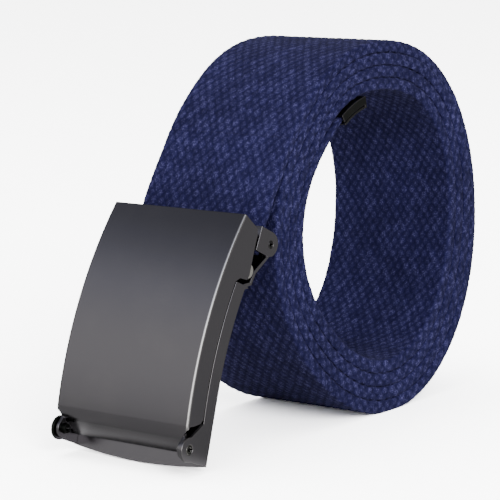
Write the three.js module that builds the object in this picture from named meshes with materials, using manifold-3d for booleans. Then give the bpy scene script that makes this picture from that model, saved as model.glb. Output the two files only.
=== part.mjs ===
// Canvas web belt, coiled and standing on the rim of its coil, with a flip-top plate buckle.
// Millimetres, +Z up. The coil's axis runs along Y and the strap leaves the coil towards -X.
import * as THREE from 'three';
import { mergeVertices } from 'three/addons/utils/BufferGeometryUtils.js';
import Module from 'manifold-3d';

const wasm = await Module();
wasm.setup();

// Webbing
const strapWidth = 38;
const strapThickness = 2.6;
const strapEdgeChamfer = 0.6;
const pressedThickness = 2.05; // where the clamp squeezes it
const tipPressedThickness = 1.4; // and inside the metal tip

// Coil: a spiral seen from the near rim. Its radius has an oval and a three-sided term, and
// all turns bulge where they lie over the thick tip.
const wholeTurns = 4;
const coilStartDeg = 106;
const leavingDeg = 151; // where the strap leaves the coil after its whole turns
const coilInnerRadius = 34.3;
const turnPitch = 3.38;
const pitchVariation = 0.44;
const loosestDeg = -33;
const ovalRise = 0.5;
const ovalDeg = 130;
const threeSideRise = 1.45;
const threeSideDeg = 52;
const bulge = 1.9;
const bulgeDeg = 112;
const bulgeWidthDeg = 24;
const stationDeg = 7.5;
const tipInset = 0.3; // the tip holds the first turn this far in from the spiral
const tipInsetDeg = 34;

// Metal tip folded over the inner end
const tipLength = 9.6;
const tipWall = 0.5;
const tipEndWall = 0.8;
const tipFlapDepth = 2.1;

// Buckle: the plate, the tray and their side walls are bent about one axis, the bow axis.
// A place on it is a distance from that axis and a bow angle, which climbs from -X.
const plateRadius = 106.4;
const sheet = 0.9;
const wallSheet = 0.8;
const trayClearance = 0.4; // between the webbing's edge and the tray's wall
const plateTopDeg = 40.5;
const plateBottomDeg = 10.6;
const camLength = 8.6;
const camLeanDeg = 45;
const camBendRadius = 4.6; // of the bend between the plate and the cam
const buckleDepth = 10.2;
const flangeDepth = 5.9;
const flangeBottomDeg = 12.2;
const lobeBottomDeg = 33.4;
const trayTopDeg = 32.6;
const trayStraightDeg = 16;
const trayTail = 16.6;
const lipBulge = 1.5;

// Hinge at the buckle's lower end
const hingeInFront = 1.72; // its axis, in front of the cam's outer face
const hingeAlongCam = 3.27; // and this far down it
const earRadius = 3;
const lugRadius = 2.4;
const hingePinRadius = 1.15;
const hingePinLength = 2.9;
const pinHoleShare = 0.5; // the hollow of a rolled pin, as a share of its radius
const pinSlotShare = 0.3;

// Clamp at the upper end, which grips the fixed end of the strap. The whole buckle hangs on
// its pin, which stands off the coil's last turn.
const clampSideDeg = 177.6;
const clampStandOff = 3.84;
const clampBowDeg = 40.5;
const clampPinDrop = 13.3; // its pin, behind the plate's outer face
const clampPinRadius = 0.9;
const clampLeanDeg = 25;
const clampHeight = 6.1;
const clampEarRadius = 3;
const clampKnuckleRadius = 1.75;
const knuckleInset = 2; // of the tray's knuckles, from the webbing's edge

// Steel bar that the lid's lobes snap on
const barRadius = 2;
const barDrop = 10.7; // its axis, behind the plate's outer face
const barDeg = 35;
const barTabInset = 4.6; // of the tabs that hold it, from the webbing's edge
const barTabWall = 0.7;

const gap = 0.3; // between separate pieces
const pinFit = 0.08; // round a pin in its holes
const arcStepDeg = 1.9;
const roundSides = 24;

const halfStrap = strapWidth / 2;
const wallInner = halfStrap + trayClearance;
const halfPlate = wallInner + wallSheet;
const coilEndDeg = leavingDeg + wholeTurns * 360;
const floorRadius = plateRadius - buckleDepth;

const radians = THREE.MathUtils.degToRad;
const vec = (x, z) => new THREE.Vector2(x, z);
const step = (from, direction, distance) => from.clone().addScaledVector(direction, distance);

const material = (color, roughness, metalness) =>
  new THREE.MeshStandardMaterial({ color, roughness, metalness });
const webbing = material(0x23264f, 0.95, 0);
const gunmetal = material(0x3d3c40, 0.38, 0.85);
const steel = material(0xd8d5cd, 0.25, 1);

const group = new THREE.Group();
function add(name, geometry, finish) {
  const mesh = new THREE.Mesh(geometry, finish);
  mesh.name = name;
  group.add(mesh);
}

// Solids and joins

// A flat outline in XZ, as thick as from y0 to y1.
function plateXZ(outline, y0, y1, bevel = 0) {
  const geometry = new THREE.ExtrudeGeometry(new THREE.Shape(outline), {
    depth: y1 - y0 - 2 * bevel,
    bevelEnabled: bevel > 0,
    bevelThickness: bevel,
    bevelSize: bevel,
    bevelOffset: -bevel,
    bevelSegments: 1,
    curveSegments: roundSides,
  });
  geometry.rotateX(Math.PI / 2); // the outline's y becomes z and its depth runs to -Y
  geometry.translate(0, y1 - bevel, 0);
  return geometry;
}

function toSolid(geometry) {
  const bare = geometry.clone();
  bare.deleteAttribute('normal');
  bare.deleteAttribute('uv');
  const merged = mergeVertices(bare, 1e-5);
  return new wasm.Manifold(new wasm.Mesh({
    numProp: 3,
    vertProperties: new Float32Array(merged.attributes.position.array),
    triVerts: new Uint32Array(merged.index.array),
  }));
}

function toGeometry(solid) {
  const mesh = solid.getMesh();
  const geometry = new THREE.BufferGeometry();
  geometry.setAttribute('position', new THREE.BufferAttribute(mesh.vertProperties, 3));
  geometry.setIndex(new THREE.BufferAttribute(mesh.triVerts, 1));
  geometry.computeVertexNormals();
  return geometry;
}

const join = (...parts) => parts.map(toSolid).reduce((whole, part) => whole.add(part));

// The same flat outline at both sides of the buckle, between two distances from its middle.
const bothSides = (outline, inner, outer) =>
  [plateXZ(outline, inner, outer), plateXZ(outline, -outer, -inner)];

function disc(center, radius) {
  const points = [];
  for (let i = 0; i < roundSides; i += 1) {
    const turn = (i / roundSides) * 2 * Math.PI;
    points.push(vec(center.x + radius * Math.cos(turn), center.y + radius * Math.sin(turn)));
  }
  return points;
}

const bore = (center, radius) =>
  toSolid(plateXZ(disc(center, radius), -halfPlate - 1, halfPlate + 1));

// The outline of a sheet bent along a path, its thickness on the right of the way the path runs.
function bentSheet(path, thickness) {
  const inner = path.map((point, i) => {
    const before = path[Math.max(i - 1, 0)];
    const after = path[Math.min(i + 1, path.length - 1)];
    const a = point.clone().sub(before).normalize();
    const b = after.clone().sub(point).normalize();
    const along = a.clone().add(b).normalize();
    const squeeze = Math.max(along.dot(i === 0 ? b : a), 0.5);
    return vec(point.x + along.y * thickness / squeeze, point.y - along.x * thickness / squeeze);
  });
  return [...path, ...inner.reverse()];
}

// Coil

// The middle of the strap's thickness at an angle of the spiral, from the middle of the coil.
function spiralPoint(degrees) {
  const turns = (degrees - coilStartDeg) / 360;
  const pitch = turnPitch + pitchVariation * Math.cos(radians(degrees - loosestDeg));
  const inset = tipInset * (1 - THREE.MathUtils.smoothstep(turns * 360, tipInsetDeg / 2, tipInsetDeg));
  const fromBulge = THREE.MathUtils.euclideanModulo(degrees - bulgeDeg + 180, 360) - 180;
  const radius = coilInnerRadius + turns * pitch - inset
    + bulge * Math.exp(-((fromBulge / bulgeWidthDeg) ** 2))
    + ovalRise * Math.cos(2 * radians(degrees - ovalDeg))
    + threeSideRise * Math.cos(3 * radians(degrees - threeSideDeg));
  return vec(radius * Math.cos(radians(degrees)), radius * Math.sin(radians(degrees)));
}

function spiralStation(degrees) {
  const step = 0.5;
  const ahead = spiralPoint(degrees + step);
  const behind = spiralPoint(Math.max(degrees - step, coilStartDeg));
  const along = ahead.sub(behind).normalize();
  return { at: spiralPoint(degrees), out: vec(along.y, -along.x) };
}

const offset = (station, distance) =>
  station.at.clone().addScaledVector(station.out, distance);

// Buckle places

const turnsBelow = Math.floor((coilEndDeg - clampSideDeg) / 360);
const lastTurn = spiralPoint(clampSideDeg + turnsBelow * 360);
const clampPin = step(lastTurn, lastTurn.clone().normalize(), strapThickness / 2 + clampStandOff);
const bowAxis = vec(
  clampPin.x + (plateRadius - clampPinDrop) * Math.cos(radians(clampBowDeg)),
  clampPin.y - (plateRadius - clampPinDrop) * Math.sin(radians(clampBowDeg)),
);
const bow = (radius, degrees) => vec(
  bowAxis.x - radius * Math.cos(radians(degrees)),
  bowAxis.y + radius * Math.sin(radians(degrees)),
);

function bowArc(radius, from, to) {
  const steps = Math.ceil(Math.abs(to - from) / arcStepDeg);
  const points = [];
  for (let i = 0; i <= steps; i += 1) points.push(bow(radius, from + (to - from) * (i / steps)));
  return points;
}

// Directions of a line that leans to +X by an angle as it climbs, and of its outer side.
const upAt = (lean) => vec(Math.sin(radians(lean)), Math.cos(radians(lean)));
const outAt = (lean) => vec(-Math.cos(radians(lean)), Math.sin(radians(lean)));

const plateBottom = bow(plateRadius, plateBottomDeg);
const camDown = vec(Math.sin(radians(camLeanDeg)), -Math.cos(radians(camLeanDeg)));
const camOut = vec(-camDown.y, camDown.x).negate();
const hinge = step(step(plateBottom, camDown, hingeAlongCam), camOut, hingeInFront);

const clampUp = upAt(clampLeanDeg);
const clampOut = outAt(clampLeanDeg);
const gripInner = clampKnuckleRadius + gap;
const webInner = gripInner + pressedThickness + gap;
const inClamp = (out, up) => step(step(clampPin, clampOut, out), clampUp, up);
const bar = bow(plateRadius - barDrop, barDeg);

// Strap: the spiral, then a run that leaves it for the clamp, as one band seen from the side.
const gripMiddle = gripInner + pressedThickness / 2;
const strapEndBelow = clampHeight / 2 + 0.4;
const squeezeLength = 4;

function strapStations() {
  const stations = [];
  const coilSteps = Math.round((coilEndDeg - coilStartDeg) / stationDeg);
  const pressedDeg = (tipLength / coilInnerRadius) * (180 / Math.PI);
  for (let i = 0; i <= coilSteps; i += 1) {
    const degrees = coilStartDeg + (coilEndDeg - coilStartDeg) * (i / coilSteps);
    const eased = THREE.MathUtils.smoothstep(degrees - coilStartDeg, pressedDeg, pressedDeg * 2);
    const half = THREE.MathUtils.lerp(tipPressedThickness, strapThickness, eased) / 2;
    stations.push({ ...spiralStation(degrees), half });
  }
  const from = stations[stations.length - 1].at;
  const leaving = spiralPoint(coilEndDeg).sub(spiralPoint(coilEndDeg - 1)).normalize();
  const to = inClamp(gripMiddle, clampHeight / 2);
  const reach = from.distanceTo(to) * 0.36;
  const run = new THREE.CubicBezierCurve(
    from, step(from, leaving, reach), step(to, clampUp, reach), to,
  );
  const runSteps = 8;
  for (let i = 1; i <= runSteps; i += 1) {
    const share = i / runSteps;
    const along = run.getTangentAt(share);
    const left = run.getLength() * (1 - share);
    const eased = THREE.MathUtils.smoothstep(left, 0, squeezeLength);
    const half = THREE.MathUtils.lerp(pressedThickness, strapThickness, eased) / 2;
    stations.push({ at: run.getPointAt(share), out: vec(along.y, -along.x), half });
  }
  const end = inClamp(gripMiddle, -strapEndBelow);
  stations.push({ at: end, out: clampOut.clone(), half: pressedThickness / 2 });
  return stations;
}

function makeStrap() {
  const stations = strapStations();
  const outer = stations.map((s) => offset(s, s.half));
  const inner = stations.map((s) => offset(s, -s.half));
  const outline = [...outer, ...inner.reverse()];
  return plateXZ(outline, -halfStrap, halfStrap, strapEdgeChamfer);
}

// Tip: a clip folded over the inner end, with a flap turned over each edge of the webbing
function makeTip() {
  const inside = tipPressedThickness / 2 + gap;
  const outside = inside + tipWall;
  const tipDeg = (tipLength / coilInnerRadius) * (180 / Math.PI);
  const count = 4;
  const stations = [];
  for (let i = 0; i <= count; i += 1) stations.push(spiralStation(coilStartDeg + tipDeg * (i / count)));
  const ahead = vec(stations[0].out.y, -stations[0].out.x);
  const beyond = (distance, out) => step(offset(stations[0], out), ahead, distance);
  const outerFace = stations.map((s) => offset(s, outside));
  const innerFace = stations.map((s) => offset(s, -outside));
  const outerHollow = stations.map((s) => offset(s, inside));
  const innerHollow = stations.map((s) => offset(s, -inside));
  const fold = [
    ...outerFace.reverse(), beyond(gap + tipEndWall, outside), beyond(gap + tipEndWall, -outside),
    ...innerFace, ...innerHollow.reverse(), beyond(gap, -inside), beyond(gap, inside), ...outerHollow,
  ];
  const flap = [
    ...stations.map((s) => offset(s, outside)).reverse(), beyond(gap + tipEndWall, outside),
    beyond(gap + tipEndWall, outside - tipFlapDepth),
    ...stations.map((s) => offset(s, outside - tipFlapDepth)),
  ];
  const edge = halfStrap + gap;
  const flapOutlines = bothSides(flap, edge, edge + tipWall);
  return toGeometry(join(plateXZ(fold, -edge - tipWall, edge + tipWall), ...flapOutlines));
}

// Tray: a floor bent with the bow, two side walls, the hinge ears, and behind the snap bar
// a step back to the knuckles of the clamp's pin
function makeFrame() {
  const trayDown = upAt(trayStraightDeg).negate();
  const bend = bow(floorRadius, trayStraightDeg);
  const tail = step(bend, trayDown, trayTail);
  const lipEnd = step(bend, trayDown, trayTail + lipBulge);
  const behindBar = plateRadius - barDrop - barRadius - gap - sheet;
  const knucklePlate = clampKnuckleRadius + gap;
  const floorPath = [
    inClamp(-knucklePlate - sheet, clampKnuckleRadius),
    inClamp(-knucklePlate - sheet, -clampKnuckleRadius),
    bow(behindBar, barDeg + 0.6),
    bow(behindBar, barDeg - 1.4),
    ...bowArc(floorRadius, trayTopDeg - 0.6, trayStraightDeg),
    lipEnd,
  ];
  // Down along the rear face the room is on the right, so the path is taken upwards.
  const floor = plateXZ(bentSheet(floorPath.reverse(), -sheet), -halfPlate, halfPlate);
  const frontEdge = plateRadius - flangeDepth - gap;
  const walls = bothSides([
    ...bowArc(floorRadius, trayTopDeg, trayStraightDeg), tail,
    step(hinge, vec(0, -1), earRadius * 0.92),
    step(hinge, upAt(plateBottomDeg), earRadius * 0.9),
    ...bowArc(frontEdge, flangeBottomDeg, trayTopDeg - 0.4),
  ], wallInner, halfPlate);
  const ears = bothSides(disc(hinge, earRadius), wallInner, halfPlate);
  const tabInner = halfStrap - barTabInset;
  const barTabs = bothSides([
    bow(behindBar, barDeg - 1.2), bow(plateRadius - barDrop, barDeg - 1.8),
    bow(plateRadius - barDrop + barRadius, barDeg - 1.2),
    bow(plateRadius - barDrop + barRadius + gap + barTabWall, barDeg),
    bow(plateRadius - barDrop + barRadius, barDeg + 1.2),
    bow(plateRadius - barDrop, barDeg + 1.8), bow(behindBar, barDeg + 0.6),
  ], tabInner - wallSheet, tabInner);
  const knuckleInner = halfStrap - knuckleInset;
  const knuckles = bothSides([
    inClamp(-knucklePlate - sheet / 2, clampKnuckleRadius), inClamp(0, clampKnuckleRadius),
    inClamp(clampKnuckleRadius * 0.7, clampKnuckleRadius * 0.7), inClamp(clampKnuckleRadius, 0),
    inClamp(clampKnuckleRadius * 0.7, -clampKnuckleRadius * 0.7), inClamp(0, -clampKnuckleRadius),
    inClamp(-knucklePlate - sheet / 2, -clampKnuckleRadius),
  ], knuckleInner - wallSheet, knuckleInner);
  let solid = join(floor, ...walls, ...ears, ...barTabs, ...knuckles);
  solid = solid.subtract(bore(hinge, hingePinRadius + pinFit));
  solid = solid.subtract(bore(bar, barRadius + pinFit));
  solid = solid.subtract(bore(clampPin, clampPinRadius + pinFit));
  solid = solid.subtract(lipTrim(tail, trayDown));
  solid = solid.subtract(sideTrim());
  return toGeometry(solid);
}

// An outline across the buckle and down one of its sheets, cut through that sheet at a point.
function cutThrough(outline, at, direction, depth) {
  const geometry = new THREE.ExtrudeGeometry(new THREE.Shape(outline), {
    depth: 2 * depth, bevelEnabled: false,
  });
  const across = new THREE.Vector3(0, 1, 0);
  const down = new THREE.Vector3(direction.x, 0, direction.y);
  const out = new THREE.Vector3().crossVectors(across, down);
  const placed = new THREE.Matrix4().makeBasis(across, down, out);
  placed.setPosition(at.x - out.x * depth, 0, at.y - out.z * depth);
  geometry.applyMatrix4(placed);
  return toSolid(geometry);
}

// What is cut off the floor's lower end, so that it bulges between the walls as one arc.
function lipTrim(tail, trayDown) {
  const arcRadius = (halfPlate ** 2 + lipBulge ** 2) / (2 * lipBulge);
  const half = Math.asin(halfPlate / arcRadius);
  const reach = 4;
  const outline = [vec(-halfPlate - 1, reach), vec(-halfPlate - 1, 0)];
  const count = 16;
  for (let i = 0; i <= count; i += 1) {
    const turn = -half + 2 * half * (i / count);
    outline.push(vec(arcRadius * Math.sin(turn), arcRadius * (Math.cos(turn) - Math.cos(half))));
  }
  outline.push(vec(halfPlate + 1, 0), vec(halfPlate + 1, reach));
  return cutThrough(outline.reverse(), tail, trayDown, 6);
}

// What is cut off beside the step behind the snap bar, where the lid's lobes come down.
function sideTrim() {
  const behind = floorRadius - clampPinDrop + clampKnuckleRadius;
  const outline = [
    bow(behind, trayTopDeg), bow(plateRadius, trayTopDeg),
    bow(plateRadius, 2 * clampBowDeg - barDeg), bow(behind, 2 * clampBowDeg - barDeg),
  ];
  const inner = halfStrap - 0.2;
  const [near, far] = bothSides(outline, inner, halfPlate + 1);
  return toSolid(near).add(toSolid(far));
}

// Lid: the bowed plate, its cam end, side flanges that widen into lobes, and the hinge lugs
function makeLid() {
  const camEdge = step(plateBottom, camDown, camLength);
  const innerRadius = plateRadius - sheet;
  const bendReach = camBendRadius * Math.tan(radians(camLeanDeg + plateBottomDeg) / 2);
  const bendTopDeg = plateBottomDeg + THREE.MathUtils.radToDeg(bendReach / plateRadius);
  const bend = new THREE.QuadraticBezierCurve(
    bow(plateRadius, bendTopDeg), plateBottom, step(plateBottom, camDown, bendReach),
  );
  const bendPoints = bend.getPoints(6);
  const widePath = [...bowArc(plateRadius, plateTopDeg, bendTopDeg), ...bendPoints.slice(1, 4)];
  const plate = plateXZ(bentSheet(widePath, -sheet), -halfPlate, halfPlate);
  const lugOuter = wallInner - gap;
  const narrowPath = [bow(plateRadius, bendTopDeg + 1), ...bendPoints, camEdge];
  const cam = plateXZ(bentSheet(narrowPath, -sheet), -lugOuter, lugOuter);
  const flangeRear = plateRadius - flangeDepth;
  const flanges = bothSides([
    ...bowArc(innerRadius + sheet / 2, plateTopDeg, flangeBottomDeg - 0.5),
    bow(plateRadius - 2.4, flangeBottomDeg - 0.4), bow(flangeRear + 0.9, flangeBottomDeg),
    bow(flangeRear, flangeBottomDeg + 0.6),
    ...bowArc(flangeRear, flangeBottomDeg + 2, lobeBottomDeg - 1.3),
    bow(flangeRear - 1.2, lobeBottomDeg - 0.5), bow(floorRadius + 0.3, lobeBottomDeg),
    bow(floorRadius + 0.1, lobeBottomDeg + 0.8), bow(floorRadius + 1.8, clampBowDeg - 3),
    bow(floorRadius + 2.4, clampBowDeg - 1.9), bow(floorRadius + 3, clampBowDeg - 0.8),
    bow(floorRadius + 4, plateTopDeg), bow(floorRadius + 6, plateTopDeg),
  ], wallInner, halfPlate);
  const lugInner = lugOuter - wallSheet;
  const inside = camOut.clone().negate();
  const lugs = bothSides([
    step(step(plateBottom, camDown, sheet), inside, sheet / 2),
    step(hinge, camDown.clone().negate(), lugRadius * 0.96),
    step(hinge, camDown, lugRadius * 0.96),
    step(step(plateBottom, camDown, camLength * 0.62), inside, sheet / 2),
  ], lugInner, lugOuter);
  const lugDiscs = bothSides(disc(hinge, lugRadius), lugInner, lugOuter);
  const corner = halfPlate - lugOuter;
  const cornerCut = (side) => {
    const outline = [
      vec(side * lugOuter, 0), vec(side * halfPlate, -corner), vec(side * (halfPlate + 1), -corner),
      vec(side * (halfPlate + 1), 1), vec(side * lugOuter, 1),
    ];
    return cutThrough(outline, bend.getPoint(0.5), bend.getTangent(0.5), 1.6 * sheet);
  };
  let solid = join(plate, cam, ...flanges, ...lugs, ...lugDiscs);
  solid = solid.subtract(bore(hinge, hingePinRadius + pinFit));
  return toGeometry(solid.subtract(cornerCut(1)).subtract(cornerCut(-1)));
}

// A pin rolled from sheet: a ring with a slot along it.
function rolledPin(center, radius, y0, y1) {
  const sides = 20;
  const hollow = radius * pinHoleShare;
  const slot = pinSlotShare;
  const outer = [];
  const inner = [];
  for (let i = 0; i <= sides; i += 1) {
    const turn = slot + (2 * Math.PI - 2 * slot) * (i / sides);
    outer.push(vec(center.x + radius * Math.cos(turn), center.y + radius * Math.sin(turn)));
    inner.push(vec(center.x + hollow * Math.cos(turn), center.y + hollow * Math.sin(turn)));
  }
  return plateXZ([...outer, ...inner.reverse()], y0, y1);
}

function makeClamp() {
  const inner = halfStrap + gap;
  const outer = inner + wallSheet;
  const half = clampHeight / 2;
  const web = plateXZ([
    inClamp(webInner, -half), inClamp(webInner, half),
    inClamp(webInner + wallSheet, half), inClamp(webInner + wallSheet, -half),
  ], -outer, outer);
  const ears = bothSides([
    inClamp(webInner + wallSheet, half), inClamp(webInner + wallSheet, -half),
    inClamp(0, -half), inClamp(0, half),
  ], inner, outer);
  const ends = bothSides(disc(clampPin, clampEarRadius), inner, outer);
  const solid = join(web, ...ears, ...ends);
  return toGeometry(solid.subtract(bore(clampPin, clampPinRadius + pinFit)));
}

add('strap', makeStrap(), webbing);
add('strap_tip', makeTip(), gunmetal);
add('buckle_frame', makeFrame(), gunmetal);
add('buckle_lid', makeLid(), gunmetal);
add('hinge_pin_near', rolledPin(hinge, hingePinRadius, -halfPlate, hingePinLength - halfPlate), steel);
add('hinge_pin_far', rolledPin(hinge, hingePinRadius, halfPlate - hingePinLength, halfPlate), steel);
add('clamp_bracket', makeClamp(), gunmetal);
const clampOuter = halfStrap + gap + wallSheet;
add('clamp_pin', rolledPin(clampPin, clampPinRadius, -clampOuter, clampOuter), gunmetal);
add('snap_bar', plateXZ(disc(bar, barRadius), gap - wallInner, wallInner - gap, 0.3), steel);

// The origin is on the floor, under the middle of the whole belt as it stands.
const bounds = new THREE.Box3().setFromObject(group);
const middle = bounds.getCenter(new THREE.Vector3());
group.position.set(-middle.x, -middle.y, -bounds.min.z);

export default group;
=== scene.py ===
"""A coiled canvas web belt with a flip-top plate buckle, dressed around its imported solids."""

import logging
import math
from dataclasses import dataclass, field
from enum import Enum
from typing import Any, Callable, Sequence

import bmesh
import bpy
import numpy as np
from bpy.types import Material, Mesh, NodeTree, Object
from mathutils import Matrix, Vector


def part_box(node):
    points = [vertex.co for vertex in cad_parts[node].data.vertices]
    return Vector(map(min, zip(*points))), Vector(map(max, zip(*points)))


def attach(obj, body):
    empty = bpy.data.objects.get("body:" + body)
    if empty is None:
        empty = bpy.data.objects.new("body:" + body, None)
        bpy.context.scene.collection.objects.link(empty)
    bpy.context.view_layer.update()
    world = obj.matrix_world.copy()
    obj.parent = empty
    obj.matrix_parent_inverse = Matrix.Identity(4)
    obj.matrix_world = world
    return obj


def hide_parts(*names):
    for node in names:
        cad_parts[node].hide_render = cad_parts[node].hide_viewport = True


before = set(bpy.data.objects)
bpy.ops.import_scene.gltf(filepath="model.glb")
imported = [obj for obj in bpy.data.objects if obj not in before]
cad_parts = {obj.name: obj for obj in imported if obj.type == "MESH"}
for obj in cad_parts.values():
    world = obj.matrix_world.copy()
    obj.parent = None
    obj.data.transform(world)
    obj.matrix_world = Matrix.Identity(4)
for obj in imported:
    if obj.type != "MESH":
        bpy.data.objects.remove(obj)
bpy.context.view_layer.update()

MM = 0.001
LOG = logging.getLogger("web_belt")


# Small geometry helpers, all in millimetres on the XZ plane


def polar(radius: float, degrees: float) -> np.ndarray:
    """The point at a radius and an angle that climbs from +X towards +Z."""
    turn = math.radians(degrees)
    return np.array([radius * math.cos(turn), radius * math.sin(turn)])


def unit(vector: np.ndarray) -> np.ndarray:
    """The vector's direction."""
    return vector / np.linalg.norm(vector)


def smoothstep(value: np.ndarray, low: float, high: float) -> np.ndarray:
    """Eases from 0 at low to 1 at high."""
    t = np.clip((value - low) / (high - low), 0, 1)
    return t * t * (3 - 2 * t)


# The strap's route and the buckle's places


@dataclass(frozen=True)
class Coil:
    """The coil's spiral: an oval and three-sided one that bulges over the tip. Millimetres."""

    whole_turns: int = 4
    start_deg: float = 106
    leaving_deg: float = 151
    inner_radius: float = 34.3
    pitch: float = 3.38
    pitch_variation: float = 0.44
    loosest_deg: float = -33
    oval_rise: float = 0.5
    oval_deg: float = 130
    three_side_rise: float = 1.45
    three_side_deg: float = 52
    bulge: float = 1.9
    bulge_deg: float = 112
    bulge_width_deg: float = 24
    tip_inset: float = 0.3
    tip_inset_deg: float = 34

    @property
    def end_deg(self) -> float:
        """Where the strap leaves the spiral."""
        return self.leaving_deg + 360 * self.whole_turns

    def point(self, degrees: float) -> np.ndarray:
        """The middle of the strap's thickness at an angle, from the middle of the coil.

        Args:
            degrees: The angle, which climbs with each turn.

        Returns:
            The point.
        """
        turns = (degrees - self.start_deg) / 360
        pitch = self.pitch + self.pitch_variation * math.cos(
            math.radians(degrees - self.loosest_deg)
        )
        eased = smoothstep(turns * 360, self.tip_inset_deg / 2, self.tip_inset_deg)
        from_bulge = (degrees - self.bulge_deg + 180) % 360 - 180
        radius = (
            self.inner_radius
            + turns * pitch
            - self.tip_inset * (1 - eased)
            + self.bulge * math.exp(-((from_bulge / self.bulge_width_deg) ** 2))
            + self.oval_rise * math.cos(2 * math.radians(degrees - self.oval_deg))
            + self.three_side_rise * math.cos(3 * math.radians(degrees - self.three_side_deg))
        )
        return polar(radius, degrees)


@dataclass(frozen=True)
class Clamp:
    """Where the buckle's clamp grips the strap, from the middle of the coil. Millimetres."""

    side_deg: float = 177.6
    stand_off: float = 3.84
    lean_deg: float = 25
    height: float = 6.1
    knuckle_radius: float = 1.75
    gap: float = 0.3
    strap_end_below: float = 3.45

    def pin(self, coil: Coil, strap_thickness: float) -> np.ndarray:
        """The clamp pin's axis.

        Args:
            coil: The spiral that the clamp stands off.
            strap_thickness: The webbing's thickness.

        Returns:
            The point, from the middle of the coil.
        """
        below = math.floor((coil.end_deg - self.side_deg) / 360)
        last_turn = coil.point(self.side_deg + below * 360)
        return last_turn + unit(last_turn) * (strap_thickness / 2 + self.stand_off)

    @property
    def up(self) -> np.ndarray:
        """The direction of the strap through the clamp."""
        turn = math.radians(self.lean_deg)
        return np.array([math.sin(turn), math.cos(turn)])

    @property
    def out(self) -> np.ndarray:
        """The direction from the pin through the strap to the clamp's web."""
        turn = math.radians(self.lean_deg)
        return np.array([-math.cos(turn), math.sin(turn)])


@dataclass
class Route:
    """The strap's middle line from its tip to the clamp, as dense stations. Millimetres."""

    coil: Coil = field(default_factory=Coil)
    clamp: Clamp = field(default_factory=Clamp)
    thickness: float = 2.6
    fullness: float = 1.03  # of the spacing between turns that the soft webbing fills
    pressed: float = 2.05
    tip_pressed: float = 1.4
    tip_length: float = 9.6
    squeeze_length: float = 4.0
    pull: float = 0.36
    settle_length: float = 30
    set_back: float = 1.3
    set_back_deg: float = 1485
    set_back_width_deg: float = 85

    def __post_init__(self) -> None:
        """Works out the line, its arc length and the coil's place in the row frame."""
        turns = np.arange(self.coil.start_deg, self.coil.end_deg + 0.01, 1.0)
        spiral = np.array([self.coil.point(d) for d in turns])
        start = spiral[-1]
        leaving = unit(self.coil.point(self.coil.end_deg) - self.coil.point(self.coil.end_deg - 1))
        grip = self.clamp.knuckle_radius + self.clamp.gap + self.pressed / 2
        pin = self.clamp.pin(self.coil, self.thickness)
        middle = pin + self.clamp.out * grip
        end = middle + self.clamp.up * self.clamp.height / 2
        reach = np.linalg.norm(end - start) * self.pull
        t = np.linspace(0, 1, 60)[1:, None]
        a, b = start + leaving * reach, end + self.clamp.up * reach
        run = (1 - t) ** 3 * start + 3 * (1 - t) ** 2 * t * a + 3 * (1 - t) * t**2 * b + t**3 * end
        tail = middle - self.clamp.up * self.clamp.strap_end_below
        last = end + (tail - end) * np.linspace(0, 1, 8)[1:, None]
        self.line = np.vstack([spiral, run, last])
        steps = np.linalg.norm(np.diff(self.line, axis=0), axis=1)
        self.lengths = np.concatenate([[0], np.cumsum(steps)])
        self.angles = np.concatenate([turns, np.full(len(run) + len(last), self.coil.end_deg)])
        self.run_start = float(self.lengths[len(spiral) - 1])
        self.run_end = float(self.lengths[len(spiral) + len(run) - 1])
        self.pin = pin
        self.middle = self._middle_in_row_frame()

    def _middle_in_row_frame(self) -> np.ndarray:
        """The middle of the coil in the row frame, from the strap's CAD box."""
        outer = self.line + self.outwards(self.lengths) * self.thickness / 2
        return np.array(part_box("strap")[1])[[0, 2]] / MM - outer.max(axis=0)

    @property
    def total(self) -> float:
        """The strap's whole length."""
        return float(self.lengths[-1])

    def at_angle(self, degrees: float) -> float:
        """The length along the strap at an angle of the spiral."""
        return float(np.interp(degrees, self.angles, self.lengths))

    def places(self, along: np.ndarray) -> np.ndarray:
        """The points of the middle line at lengths along it."""
        return np.column_stack([np.interp(along, self.lengths, axis) for axis in self.line.T])

    def outwards(self, along: np.ndarray) -> np.ndarray:
        """The outward directions at lengths along the line.

        Args:
            along: The lengths.

        Returns:
            The directions.
        """
        step = 1.2
        ahead = self.places(np.minimum(along + step, self.lengths[-1]))
        behind = self.places(np.maximum(along - step, 0))
        way = ahead - behind
        way /= np.linalg.norm(way, axis=1)[:, None]
        return np.column_stack([way[:, 1], -way[:, 0]])

    def halves(self, along: np.ndarray) -> np.ndarray:
        """Half of the strap's thickness at lengths along it.

        Args:
            along: The lengths.

        Returns:
            The halves.
        """
        tip = smoothstep(along, self.tip_length, 2 * self.tip_length)
        clamp = smoothstep(self.run_end - along, 0, self.squeeze_length)
        angles = np.radians(np.interp(along, self.lengths, self.angles) - self.coil.loosest_deg)
        spacing = self.coil.pitch + self.coil.pitch_variation * np.cos(angles)
        on_coil = 1 - smoothstep(along, self.run_start - self.settle_length, self.run_start)
        free = self.thickness + (spacing * self.fullness - self.thickness) * on_coil
        half = np.minimum(
            self.tip_pressed + (free - self.tip_pressed) * tip,
            self.pressed + (free - self.pressed) * clamp,
        )
        return half / 2

    def shifts(self, along: np.ndarray) -> np.ndarray:
        """How far the strap stands back from the coil's near rim at lengths along it.

        Args:
            along: The lengths.

        Returns:
            The distances.
        """
        angles = np.interp(along, self.lengths, self.angles)
        share = np.clip(np.abs(angles - self.set_back_deg) / self.set_back_width_deg, 0, 1)
        eased = 0.5 + 0.5 * np.cos(np.pi * share)
        return self.set_back * eased * (along < self.run_start + 0.01)


# Node graphs


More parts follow.
